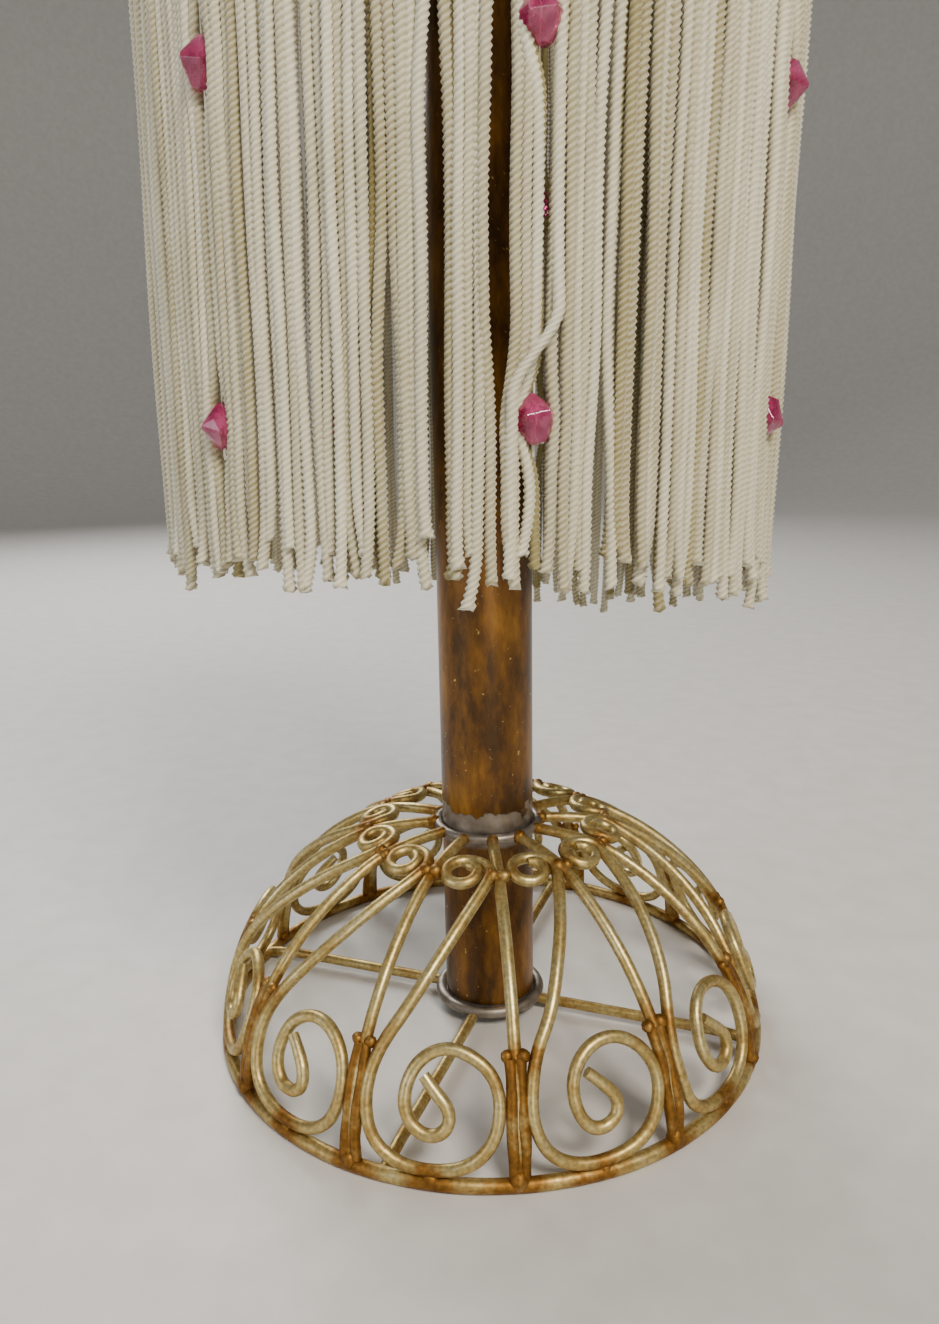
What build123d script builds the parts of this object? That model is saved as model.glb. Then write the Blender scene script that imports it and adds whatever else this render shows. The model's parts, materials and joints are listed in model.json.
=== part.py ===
from build123d import *
from math import acos, cos, hypot, pi, radians, sin, tan
import os

# Fringed lamp shade on its column and wire foot, in millimetres.
# +Z is up, z = 0 is the table, and the column's axis is x = y = 0. Angles run from -Y towards +X.

# Wire
RING_WIRE = 3.0
RING_WORN = 0.1
DOME_WIRE = 2.6
COLLAR_WIRE = 2.2

# Wire domes: one pattern, made to two ring radii
FOOT_RING_R = 65.0
SHADE_RING_R = 61.7
PANELS = 12
FIRST_RIB = 3.5
DOME_RISE = 0.80
CROWN_RISE = 0.732
SPIRAL_R = 0.428
PANEL_ARC = 34.03

# Column
TUBE_R = 11.0
TUBE_WALL = 1.0
TUBE_BOTTOM = 5.0
TUBE_TOP = 258.0
ROD_R = 5.0
ROD_BORE_R = 3.5
ROD_BOTTOM = 0.5
ROD_TOP = 266.0
NUT_FLATS = 14.0
NUT_HEIGHT = 3.0
WASHER = 1.2
STRUTS = 4
FIRST_STRUT = -20.0
STRUT_Z = 3.9
STRUT_SET = 0.4

# Lampholder and bulb
CAP_HEIGHT = 3.0
HOLDER_R = 13.5
HOLDER_WALL = 1.5
HOLDER_SPLIT = 273.0
SHOULDER_Z = 290.0
SHOULDER_R = 17.0
THREAD_R = 14.0
HOLDER_TOP = 299.0
BULB_CAP_R = 6.9
BULB_CAP_BOTTOM = 274.0
BULB_R = 13.0
BULB_TOP = 330.0
GLASS_WALL = 0.8

# Shade
SHADE_Z = 292.3
FITTER_R = 18.0
FITTER_THICK = 1.6
FITTER_GAP = 0.2
BRAID_IN_R = 63.3
BRAID_OUT_R = 65.4
BRAID_BOTTOM = 284.0
BRAID_TOP = 296.4
SECTORS = 7
FIRST_COLUMN = 8.7
SECTOR_GAP = 1.0
SWING_ROOM = 1.8
CORD_IN_R = 63.2
CORD_OUT_R = 65.4
CORD_END_MEAN = 107.5
CORD_END_SLOPE = 10.5
BEAD_ROWS = (143.0, 199.6, 256.2)
BEAD_R = 3.9
BEAD_PLACE_R = 62.8
BEAD_ROOM = 0.3


def place(radius, angle, z):
    """A point at an angle, in radians, from -Y towards +X."""
    return Vector(radius * sin(angle), -radius * cos(angle), z)


def turned(shape, degrees):
    return Rot(0, 0, degrees) * shape


def disc(radius, bottom, top):
    return Pos(0, 0, bottom) * Cylinder(radius, top - bottom, align=(Align.CENTER, Align.CENTER, Align.MIN))


def pipe(outer, inner, bottom, top):
    return disc(outer, bottom, top) - disc(inner, bottom - 1, top + 1)


def bent_wire(points, diameter):
    """A round wire along straight runs joined by tangent arcs."""
    radii = []
    for before, corner, after in zip(points, points[1:], points[2:]):
        turn = radians((corner - before).get_angle(after - corner))
        run = min((corner - before).length, (after - corner).length)
        radii.append(0.45 * run / tan(turn / 2))
    path = FilletPolyline(*points, radius=radii)
    section = Plane(origin=path @ 0, z_dir=path % 0) * Circle(diameter / 2)
    return sweep(section, path=path)


# The dome is a flattened quarter ellipse. Its slope angle t is 0 at the ring and grows to the crown.

def dome_point(ring_r, ring_z, angle, t):
    rise = min(DOME_RISE * sin(t), CROWN_RISE)
    return place(ring_r * cos(t), angle, ring_z + ring_r * rise)


def slope_length(t):
    """Length along the dome for each radian of t, on the foot's own radius."""
    return FOOT_RING_R * hypot(sin(t), DOME_RISE * cos(t))


def slope_at(height):
    """The t that lies this far up the foot's dome, measured along it."""
    t = 0.0
    for _ in range(60):
        t += height / 60 / slope_length(t)
    return t


# One scroll, drawn in its panel: (across, up) in mm along the dome of the foot
SPIRAL = ((72, 2.4), (36, 3.0), (0, 3.3), (-45, 3.6), (-90, 3.8), (-135, 4.0), (-180, 4.1), (-225, 4.3),
          (-270, 4.6), (-310, 5.2), (-345, 5.9), (-370, 6.4))
LEG = ((20.3, 51.0), (13.9, 41.0), (8.9, 32.0), (5.0, 25.5))
LOOP = ((3.0, 19.5), (2.9, 13.0), (5.0, 6.6), (10.0, 3.1), (17.0, 2.3), (24.5, 3.7), (29.6, 8.5),
        (31.2, 15.5), (29.6, 21.5), (24.5, 25.2), (18.5, 25.9), (13.5, 23.0), (11.4, 18.5), (11.6, 13.8),
        (14.0, 10.2), (17.6, 9.4), (20.6, 11.3), (20.9, 14.6), (18.2, 17.6), (15.0, 20.4))


def scroll_route(ring_r, ring_z):
    panel = 2 * pi / PANELS
    middle = acos(SPIRAL_R)
    route = []
    for turn, reach in SPIRAL:
        across = reach * cos(radians(turn)) / (FOOT_RING_R * SPIRAL_R)
        up = reach * sin(radians(turn)) / slope_length(middle)
        route.append(dome_point(ring_r, ring_z, 0.47 * panel + across, middle + up))
    for across, height in LEG + LOOP:
        route.append(dome_point(ring_r, ring_z, panel * across / PANEL_ARC, slope_at(height)))
    return route


def rib_route(ring_r, ring_z):
    crown = acos(0.40)
    route = [dome_point(ring_r, ring_z, 0, crown * step / 5) for step in range(6)]
    route.append(place(TUBE_R + COLLAR_WIRE / 2 + 0.6, 0, route[-1].Z))
    return route


def around(shape, count, first):
    return Compound([turned(shape, first + 360 / count * k) for k in range(count)])


def dome(prefix, ring_r, ring_z):
    """Ring, ribs, scrolls and top collar of one wire dome."""
    crown_z = ring_z + ring_r * CROWN_RISE
    section = Pos(ring_r, ring_z) * Circle(RING_WIRE / 2) - Pos(ring_r, -5) * Rectangle(10, 10)
    export(f"{prefix}_ring", revolve(Plane.XZ * section, axis=Axis.Z))
    export(f"{prefix}_ribs", around(bent_wire(rib_route(ring_r, ring_z), DOME_WIRE), PANELS, FIRST_RIB))
    export(f"{prefix}_scrolls", around(bent_wire(scroll_route(ring_r, ring_z), DOME_WIRE), PANELS, FIRST_RIB))
    export(f"{prefix}_top_collar", Pos(0, 0, crown_z) * Torus(TUBE_R + COLLAR_WIRE / 2, COLLAR_WIRE / 2))


def export(node, shape):
    export_step(shape, f"parts/{node}.step")


def foot():
    ring_z = RING_WIRE / 2 - RING_WORN
    dome("foot", FOOT_RING_R, ring_z)
    export("foot_bottom_collar", Pos(0, 0, STRUT_Z) * Torus(TUBE_R + DOME_WIRE / 2, DOME_WIRE / 2))
    route = [
        place(TUBE_R + DOME_WIRE - STRUT_SET, 0, STRUT_Z),
        place(FOOT_RING_R - 4, 0, STRUT_Z),
        place(FOOT_RING_R, 0, ring_z),
    ]
    export("foot_struts", around(bent_wire(route, DOME_WIRE), STRUTS, FIRST_STRUT))


def column():
    export("column_tube", pipe(TUBE_R, TUBE_R - TUBE_WALL, TUBE_BOTTOM, TUBE_TOP))
    export("threaded_rod", pipe(ROD_R, ROD_BORE_R, ROD_BOTTOM, ROD_TOP))
    export("bottom_washer", pipe(TUBE_R - 0.1, ROD_R, TUBE_BOTTOM - WASHER, TUBE_BOTTOM))
    nut_z = TUBE_BOTTOM - WASHER - NUT_HEIGHT
    nut = extrude(RegularPolygon(NUT_FLATS / 2, 6, major_radius=False), NUT_HEIGHT)
    export("bottom_nut", Pos(0, 0, nut_z) * nut - disc(ROD_R, 0, 10))
    bore = ROD_BORE_R - 0.7
    bushing = pipe(ROD_BORE_R, bore, ROD_BOTTOM, 8) + pipe(ROD_R, bore, 0.1, ROD_BOTTOM)
    export("cord_bushing", bushing)
    cap = disc(TUBE_R + 1.5, TUBE_TOP, TUBE_TOP + CAP_HEIGHT)
    cap += disc(TUBE_R - TUBE_WALL, TUBE_TOP - CAP_HEIGHT, TUBE_TOP)
    cap = fillet(cap.edges().group_by(Axis.Z)[-1], 1.2)
    export("tube_cap", cap - disc(ROD_R, 0, 300))


def lampholder():
    floor = TUBE_TOP + CAP_HEIGHT
    cup = disc(HOLDER_R, floor, HOLDER_SPLIT)
    cup = fillet(cup.edges().group_by(Axis.Z)[0], 4)
    cup -= disc(HOLDER_R - HOLDER_WALL, floor + 3, HOLDER_SPLIT + 1)
    export("lampholder_cap", cup - disc(ROD_R, 0, 300))

    shell = disc(HOLDER_R, HOLDER_SPLIT, SHOULDER_Z)
    shell += disc(SHOULDER_R, SHOULDER_Z - 1.4, SHOULDER_Z)
    shell += disc(THREAD_R, SHOULDER_Z, HOLDER_TOP)
    export("lampholder_shell", shell - disc(HOLDER_R - HOLDER_WALL, 0, 400))

    seat = pipe(HOLDER_R - HOLDER_WALL, BULB_CAP_R + 1, HOLDER_SPLIT - 4, HOLDER_SPLIT + 2)
    seat += pipe(HOLDER_R - HOLDER_WALL, 2.5, HOLDER_SPLIT - 4, HOLDER_SPLIT - 1)
    export("lampholder_insert", seat)
    export("lampholder_screw_shell", pipe(BULB_CAP_R + 0.8, BULB_CAP_R + 0.08, HOLDER_SPLIT - 1, HOLDER_SPLIT + 16))
    export("lampholder_contact", disc(2.4, HOLDER_SPLIT - 4, BULB_CAP_BOTTOM - 0.3))


def bulb():
    neck_z = BULB_CAP_BOTTOM + 17
    middle = BULB_TOP - BULB_R
    # half outline of the glass, from its neck to its crown
    with BuildPart() as glass:
        with BuildSketch(Plane.XZ):
            with BuildLine():
                l1 = Line((0, neck_z), (BULB_CAP_R - 0.7, neck_z))
                l2 = Line(l1 @ 1, (BULB_CAP_R - 0.7, neck_z + 3))
                l3 = Spline(l2 @ 1, (BULB_R, middle), tangents=((0, 1), (0, 1)))
                l4 = CenterArc((0, middle), BULB_R, 0, 90)
                Line(l4 @ 1, l1 @ 0)
            make_face()
        revolve(axis=Axis.Z)
        bottom = glass.faces().sort_by(Axis.Z)[0]
        offset(amount=-GLASS_WALL, openings=bottom)
    export("bulb_glass", glass.part)
    cap = disc(BULB_CAP_R, BULB_CAP_BOTTOM + 3, neck_z)
    cap += Pos(0, 0, BULB_CAP_BOTTOM) * Cone(2.4, 4.8, 3, align=(Align.CENTER, Align.CENTER, Align.MIN))
    export("bulb_cap", cap)
    stem = disc(2.0, neck_z, neck_z + 12)
    stem += disc(3.6, neck_z + 12, neck_z + 13.5)
    export("bulb_stem", stem)
    legs = [
        place(3.0, 0, neck_z + 13.5),
        place(3.4, 0, neck_z + 20),
        place(5.2, radians(20), neck_z + 25),
        place(5.4, radians(75), neck_z + 25.4),
        place(5.4, radians(130), neck_z + 25),
        place(3.4, radians(180), neck_z + 20),
        place(3.0, radians(180), neck_z + 13.5),
    ]
    export("bulb_filament", bent_wire(legs, 0.5))


def shade_frame():
    dome("shade", SHADE_RING_R, SHADE_Z)
    fitter_z = SHOULDER_Z + FITTER_GAP
    export("shade_fitter_ring", pipe(FITTER_R, THREAD_R + FITTER_GAP, fitter_z, fitter_z + FITTER_THICK))
    arm_z = fitter_z + FITTER_THICK - DOME_WIRE / 2
    route = [
        place(FITTER_R - STRUT_SET, 0, arm_z),
        place(FITTER_R + 5, 0, arm_z),
        place(SHADE_RING_R - 6, 0, SHADE_Z),
        place(SHADE_RING_R, 0, SHADE_Z),
    ]
    export("shade_struts", around(bent_wire(route, DOME_WIRE), STRUTS, FIRST_STRUT))
    nut_z = fitter_z + FITTER_THICK + FITTER_GAP
    nut = disc(FITTER_R, nut_z, nut_z + 4)
    nut = chamfer(nut.edges().group_by(Axis.Z)[-1], 0.8)
    grips = [turned(Pos(FITTER_R + 0.7, 0, 0) * disc(1.3, nut_z - 1, nut_z + 5), 15 * k) for k in range(24)]
    export("shade_ring_nut", nut - grips - disc(THREAD_R + 0.05, 200, 400))
    export("header_braid", pipe(BRAID_OUT_R, BRAID_IN_R, BRAID_BOTTOM, BRAID_TOP))


def fringe():
    """The cords in sectors, each around one column of beads."""
    half = 180 / SECTORS - SECTOR_GAP / 2 / CORD_OUT_R * 180 / pi
    top = BRAID_BOTTOM - SWING_ROOM
    for k in range(SECTORS):
        middle = FIRST_COLUMN + 360 / SECTORS * k
        end = CORD_END_MEAN + CORD_END_SLOPE * cos(radians(middle))
        slab = pipe(CORD_OUT_R, CORD_IN_R, end, top)
        wedge = Polyline((0, 0), place(90, radians(-half), 0), place(90, 0, 0), place(90, radians(half), 0), close=True)
        slab &= Pos(0, 0, end) * extrude(make_face(wedge), top - end)
        beads = []
        for z in BEAD_ROWS:
            seat = Pos(place(BEAD_PLACE_R, 0, z))
            slab -= seat * Sphere(BEAD_R + BEAD_ROOM)
            beads.append(turned(seat * bead(), middle))
        export(f"fringe_cords_{k + 1}", turned(slab, middle))
        export(f"beads_{k + 1}", Compound(beads))


def bead():
    """A faceted bead: two six-sided cones with a narrow girdle, bored on its long axis."""
    girdle = 1.2
    tip = 1.4
    body = None
    for side in (1, -1):
        wide = Plane.XY.offset(side * girdle / 2) * RegularPolygon(BEAD_R, 6)
        narrow = Plane.XY.offset(side * BEAD_R) * RegularPolygon(tip, 6)
        cone = loft([wide, narrow])
        body = cone if body is None else body + cone
    body += Pos(0, 0, -girdle / 2) * extrude(RegularPolygon(BEAD_R, 6), girdle)
    return body - Cylinder(0.6, 3 * BEAD_R)


os.makedirs("parts", exist_ok=True)
foot()
column()
lampholder()
bulb()
shade_frame()
fringe()
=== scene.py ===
import bpy
import bmesh
import json
import numpy as np
from math import acos, cos, hypot, pi, radians, sin
from mathutils import Matrix, Vector, noise

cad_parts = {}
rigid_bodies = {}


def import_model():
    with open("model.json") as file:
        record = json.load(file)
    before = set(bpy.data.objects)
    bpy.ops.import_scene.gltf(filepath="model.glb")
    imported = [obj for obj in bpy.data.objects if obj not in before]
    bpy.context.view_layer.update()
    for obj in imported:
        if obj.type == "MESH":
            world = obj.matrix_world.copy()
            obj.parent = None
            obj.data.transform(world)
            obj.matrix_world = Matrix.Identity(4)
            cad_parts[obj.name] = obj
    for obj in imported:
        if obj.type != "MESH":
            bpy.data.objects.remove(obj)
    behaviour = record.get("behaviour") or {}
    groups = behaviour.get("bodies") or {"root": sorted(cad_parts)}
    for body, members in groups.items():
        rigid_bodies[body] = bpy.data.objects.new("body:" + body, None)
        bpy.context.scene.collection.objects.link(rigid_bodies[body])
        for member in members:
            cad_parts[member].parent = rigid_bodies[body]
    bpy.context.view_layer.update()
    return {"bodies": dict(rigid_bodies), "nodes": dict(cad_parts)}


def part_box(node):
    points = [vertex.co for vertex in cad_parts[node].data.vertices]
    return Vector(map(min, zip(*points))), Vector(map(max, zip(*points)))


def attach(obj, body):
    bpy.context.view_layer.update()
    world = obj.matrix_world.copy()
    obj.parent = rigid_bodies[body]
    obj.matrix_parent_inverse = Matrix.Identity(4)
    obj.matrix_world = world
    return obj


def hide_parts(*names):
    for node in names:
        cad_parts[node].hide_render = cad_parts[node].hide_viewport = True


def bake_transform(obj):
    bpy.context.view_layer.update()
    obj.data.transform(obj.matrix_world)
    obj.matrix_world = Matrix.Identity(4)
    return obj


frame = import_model()
mm = 0.001


def srgb(code, alpha=1.0):
    # sRGB hex to the linear values that the nodes want
    out = []
    for at in (0, 2, 4):
        value = int(code[at:at + 2], 16) / 255
        out.append(value / 12.92 if value <= 0.04045 else ((value + 0.055) / 1.055) ** 2.4)
    return (*out, alpha)


def newMaterial(name):
    material = bpy.data.materials.new(name)
    material.use_nodes = True
    material.node_tree.nodes.clear()
    return material


def addNode(material, kind, settings=None, links=None):
    # settings: node properties, or socket values by name; links: socket by name or number
    tree = material.node_tree
    node = tree.nodes.new("ShaderNode" + kind)
    for name, value in (settings or {}).items():
        if hasattr(node, name):
            setattr(node, name, value)
        else:
            node.inputs[name].default_value = value
    for name, source in (links or {}).items():
        tree.links.new(source, node.inputs[name])
    return node


def ramp(material, factor, stops):
    node = addNode(material, "ValToRGB", links={"Fac": factor})
    elements = node.color_ramp.elements
    while len(elements) < len(stops):
        elements.new(0.5)
    for element, (place, colour) in zip(elements, stops):
        element.position = place
        element.color = colour if isinstance(colour, tuple) else (colour, colour, colour, 1)
    return node.outputs["Color"]


def finishMaterial(material, shader):
    addNode(material, "OutputMaterial", links={"Surface": shader.outputs[0]})
    return material


def place(radius, angle, z):
    # angle from -Y towards +X
    return Vector((radius * sin(angle), -radius * cos(angle), z))


def newPiece(name, mesh, material, body=None):
    piece = bpy.data.objects.new(name, mesh)
    bpy.context.scene.collection.objects.link(piece)
    piece.data.materials.append(material)
    if body:
        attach(piece, body)
    return piece


def meshFromBmesh(name, bm, smooth=True):
    bmesh.ops.recalc_face_normals(bm, faces=bm.faces)
    mesh = bpy.data.meshes.new(name)
    bm.to_mesh(mesh)
    bm.free()
    mesh.shade_smooth() if smooth else mesh.shade_flat()
    return mesh


def wireMesh(name, routes, diameter, closed=False, sides=3, steps=5):
    # bent wire: one smooth NURBS line for each route, drawn out to a round section
    curve = bpy.data.curves.new(name, "CURVE")
    curve.dimensions = "3D"
    curve.bevel_depth = diameter / 2
    curve.bevel_resolution = sides
    curve.use_fill_caps = not closed
    for route in routes:
        spline = curve.splines.new("NURBS")
        spline.points.add(len(route) - 1)
        for point, (co, width) in zip(spline.points, route):
            point.co = (*co, 1)
            point.radius = width
        spline.use_cyclic_u = closed
        spline.order_u = 3
        spline.use_endpoint_u = not closed
        spline.resolution_u = steps
    holder = bpy.data.objects.new(name, curve)
    bpy.context.scene.collection.objects.link(holder)
    bpy.context.view_layer.update()
    mesh = bpy.data.meshes.new_from_object(holder.evaluated_get(bpy.context.evaluated_depsgraph_get()))
    bpy.data.objects.remove(holder)
    mesh.shade_smooth()
    return mesh


cameraSettings = {
    "place": (-3.74 * mm, -220.6 * mm, 141.6 * mm),
    "pitch": 13.51,          # degrees down
    "roll": -1.04,
    "lens": 26.27,           # mm, on a 36 mm long side
}


def makeCamera(use):
    data = bpy.data.cameras.new("camera")
    data.lens = use["lens"]
    data.sensor_width = 36
    data.clip_start = 0.01
    camera = bpy.data.objects.new("camera", data)
    bpy.context.scene.collection.objects.link(camera)
    pitch = radians(use["pitch"])
    roll = radians(use["roll"])
    ahead = Vector((0, cos(pitch), -sin(pitch)))
    level = Vector((1, 0, 0))
    rise = Vector((0, sin(pitch), cos(pitch)))
    across = cos(roll) * level + sin(roll) * rise
    up = -sin(roll) * level + cos(roll) * rise
    turn = Matrix((across, up, -ahead)).transposed().to_4x4()
    camera.matrix_world = Matrix.Translation(use["place"]) @ turn
    bpy.context.scene.camera = camera


studio = {
    "floor": ("C9C6C0", "D2CFC9"),
    "centre": 0.02,          # metres from the middle to the first ring of the floor
    "flat": 1.5,             # metres to where the floor starts to curve up
    "curve": 0.9,
    "wallTop": 1.7,
    "world": ("B9BEC6", 0.38),
    "aim": (0, 0, 0.15),
    # name: place in metres, size in metres, power in watts, colour
    "lamps": {
        "key": ((0.35, -0.75, 0.95), 0.35, 15.0, "FFF6EA"),
        "fill": ((-0.95, -0.6, 0.35), 0.6, 3.6, "EEF2FF"),
        "rim": ((-0.4, 0.9, 0.8), 0.6, 13.0, "FFFFFF"),
        "front": ((0.25, -1.1, 0.14), 0.35, 2.2, "FFF8EE"),
    },
}


def makeStudio(use):
    # a flat floor that curves up into a round wall, so that every view has the same backdrop
    flat, curve = use["flat"], use["curve"]
    profile = [(use["centre"], 0)]
    profile += [(flat - curve * cos(turn), curve - curve * sin(turn)) for turn in np.linspace(pi / 2, pi, 9)]
    profile.append((flat + curve, use["wallTop"]))
    bm = bmesh.new()
    corners = [bm.verts.new((reach, 0, height)) for reach, height in profile]
    lines = [bm.edges.new(pair) for pair in zip(corners, corners[1:])]
    bmesh.ops.spin(bm, geom=lines, angle=2 * pi, steps=96, use_merge=True, axis=(0, 0, 1), cent=(0, 0, 0))
    bmesh.ops.remove_doubles(bm, verts=bm.verts[:], dist=0.0001)
    hole = [edge for edge in bm.edges if edge.is_boundary and edge.verts[0].co.z < curve]
    bmesh.ops.holes_fill(bm, edges=hole, sides=0)
    material = newMaterial("paleStudioFloor")
    place3d = addNode(material, "TexCoord").outputs["Object"]
    grain = addNode(material, "TexNoise", {"Scale": 90.0, "Detail": 4.0}, {"Vector": place3d})
    colour = ramp(material, grain.outputs[0], [(0.3, srgb(use["floor"][0])), (0.7, srgb(use["floor"][1]))])
    shader = addNode(material, "BsdfPrincipled", {"Roughness": 0.55}, {"Base Color": colour})
    finishMaterial(material, shader)
    floor = newPiece("floor", meshFromBmesh("floor", bm), material)
    world = bpy.data.worlds.new("studio")
    world.use_nodes = True
    glow = world.node_tree.nodes["Background"].inputs
    glow["Color"].default_value = srgb(use["world"][0])
    glow["Strength"].default_value = use["world"][1]
    bpy.context.scene.world = world
    for name, (spot, size, power, colour) in use["lamps"].items():
        data = bpy.data.lights.new(name, "AREA")
        data.size = size
        data.energy = power
        data.color = srgb(colour)[:3]
        lamp = bpy.data.objects.new(name, data)
        bpy.context.scene.collection.objects.link(lamp)
        turn = (Vector(use["aim"]) - Vector(spot)).to_track_quat("-Z", "Y")
        lamp.matrix_world = Matrix.Translation(spot) @ turn.to_matrix().to_4x4()


makeCamera(cameraSettings)
makeStudio(studio)
print("camera, floor and lights set")


def giltIron():
    # iron wire with thin, dull gilding: pale gold where handled, brown patina in the joints and low down;
    # the wear comes in patches of about 6 mm, with pits of about 0.9 mm
    material = newMaterial("giltIronWire")
    spot = addNode(material, "TexCoord").outputs["Object"]
    broad = addNode(material, "TexNoise", {"Scale": 160.0, "Detail": 5.0, "Roughness": 0.62},
                    {"Vector": spot})
    fine = addNode(material, "TexNoise", {"Scale": 1100.0, "Detail": 3.0}, {"Vector": spot})
    near = addNode(material, "Attribute", {"attribute_name": "patina"})
    worn = addNode(material, "Math", {"operation": "MULTIPLY_ADD"},
                   {0: broad.outputs[0], 2: near.outputs["Fac"]})
    worn.inputs[1].default_value = 0.75
    colour = ramp(material, worn.outputs[0], [
        (0.30, srgb("D9C88F")), (0.48, srgb("C4AB69")), (0.66, srgb("94682A")), (0.95, srgb("5B3A12"))])
    speck = ramp(material, fine.outputs[0], [(0.36, 0.0), (0.62, 1.0)])
    mixed = addNode(material, "MixRGB", {"blend_type": "MULTIPLY", "Fac": 0.35},
                    {"Color1": colour, "Color2": speck})
    rough = ramp(material, worn.outputs[0], [(0.3, 0.36), (0.9, 0.62)])
    bump = addNode(material, "Bump", {"Strength": 0.35, "Distance": 0.00012}, {"Height": fine.outputs[0]})
    shader = addNode(material, "BsdfPrincipled", {"Metallic": 0.85},
                     {"Base Color": mixed.outputs[0], "Roughness": rough, "Normal": bump.outputs[0]})
    return finishMaterial(material, shader)


def amberLacquer(tearZ):
    # brass foil under old amber lacquer: mottled brown, torn to grey steel just over the foot's collar;
    # clouds of about 10 mm, drawn out upwards, gold flecks of about 1 mm and a torn edge of about 5 mm
    material = newMaterial("amberLacqueredBrass")
    spot = addNode(material, "TexCoord").outputs["Object"]
    tall = addNode(material, "Mapping", {"Scale": (1.0, 1.0, 0.35)}, {"Vector": spot})
    cloud = addNode(material, "TexNoise", {"Scale": 95.0, "Detail": 6.0, "Roughness": 0.68},
                    {"Vector": tall.outputs[0]})
    grit = addNode(material, "TexNoise", {"Scale": 900.0, "Detail": 4.0}, {"Vector": spot})
    colour = ramp(material, cloud.outputs[0], [
        (0.28, srgb("1D1204")), (0.45, srgb("4E320A")), (0.57, srgb("7A5012")), (0.76, srgb("B07E28"))])
    flecks = ramp(material, grit.outputs[0], [(0.69, 0.0), (0.76, 1.0)])
    gold = addNode(material, "MixRGB", {"Color2": srgb("D9B45C")}, {"Fac": flecks, "Color1": colour})
    height = addNode(material, "SeparateXYZ", links={"Vector": spot}).outputs["Z"]
    rag = addNode(material, "TexNoise", {"Scale": 210.0, "Detail": 5.0}, {"Vector": spot})
    edge = addNode(material, "Math", {"operation": "MULTIPLY_ADD"}, {0: rag.outputs[0], 2: height})
    edge.inputs[1].default_value = -0.012
    torn = addNode(material, "MapRange", {"From Min": tearZ - 0.0064, "From Max": tearZ - 0.0060},
                   {"Value": edge.outputs[0]})
    foot = addNode(material, "MapRange", {"From Min": tearZ - 0.0075, "From Max": tearZ - 0.0085},
                   {"Value": height})
    keep = addNode(material, "Math", {"operation": "MAXIMUM"},
                   {0: torn.outputs[0], 1: foot.outputs[0]}).outputs[0]
    steel = ramp(material, rag.outputs[0], [(0.3, srgb("5E564C")), (0.7, srgb("9A9186"))])
    final = addNode(material, "MixRGB", links={"Fac": keep, "Color1": steel, "Color2": gold.outputs[0]})
    rough = ramp(material, cloud.outputs[0], [(0.3, 0.30), (0.8, 0.46)])
    bump = addNode(material, "Bump", {"Strength": 0.25, "Distance": 0.0002}, {"Height": grit.outputs[0]})
    lift = addNode(material, "Bump", {"Strength": 0.6, "Distance": 0.0002},
                   {"Height": keep, "Normal": bump.outputs[0]})
    shader = addNode(material, "BsdfPrincipled",
                     {"Metallic": 0.7, "Coat Weight": 0.25, "Coat Roughness": 0.22},
                     {"Base Color": final.outputs[0], "Roughness": rough, "Normal": lift.outputs[0]})
    return finishMaterial(material, shader)


def plainMetal(name, dark, light, roughness, grain):
    # turned, plated or bare metal: tool grain of under 1 mm and a little tarnish in spots of about 4 mm
    material = newMaterial(name)
    spot = addNode(material, "TexCoord").outputs["Object"]
    cloud = addNode(material, "TexNoise", {"Scale": 240.0, "Detail": 5.0}, {"Vector": spot})
    fine = addNode(material, "TexNoise", {"Scale": grain, "Detail": 2.0}, {"Vector": spot})
    colour = ramp(material, cloud.outputs[0], [(0.32, srgb(dark)), (0.66, srgb(light))])
    bump = addNode(material, "Bump", {"Strength": 0.2, "Distance": 0.00008}, {"Height": fine.outputs[0]})
    rough = ramp(material, cloud.outputs[0], [(0.3, roughness + 0.12), (0.7, roughness)])
    shader = addNode(material, "BsdfPrincipled", {"Metallic": 0.9},
                     {"Base Color": colour, "Roughness": rough, "Normal": bump.outputs[0]})
    return finishMaterial(material, shader)


def knittedRayon(name, low, high):
    # rayon chainette: matt silky fibre, cream gone a little yellow, darker in some strands; the attribute
    # read here also holds painted shade, darker between the stitches, in the heading's grooves and on the
    # cords that hang behind; the fibre's grain is about 0.24 mm, far coarser than real rayon, so that it shows
    material = newMaterial(name)
    spot = addNode(material, "TexCoord").outputs["Object"]
    toneAndShade = addNode(material, "Attribute", {"attribute_name": "toneAndShade"})
    cloud = addNode(material, "TexNoise", {"Scale": 55.0, "Detail": 3.0}, {"Vector": spot})
    shade = addNode(material, "Math", {"operation": "MULTIPLY_ADD"},
                    {0: cloud.outputs[0], 2: toneAndShade.outputs["Fac"]})
    shade.inputs[1].default_value = 0.35
    colour = ramp(material, shade.outputs[0], [(0.15, srgb(high)), (0.95, srgb(low))])
    fibre = addNode(material, "TexNoise", {"Scale": 4200.0, "Detail": 2.0}, {"Vector": spot})
    bump = addNode(material, "Bump", {"Strength": 0.5, "Distance": 0.0001}, {"Height": fibre.outputs[0]})
    shader = addNode(material, "BsdfPrincipled",
                     {"Roughness": 0.72, "Sheen Weight": 0.35, "Sheen Roughness": 0.4,
                      "Specular IOR Level": 0.35},
                     {"Base Color": colour, "Normal": bump.outputs[0]})
    return finishMaterial(material, shader)


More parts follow.
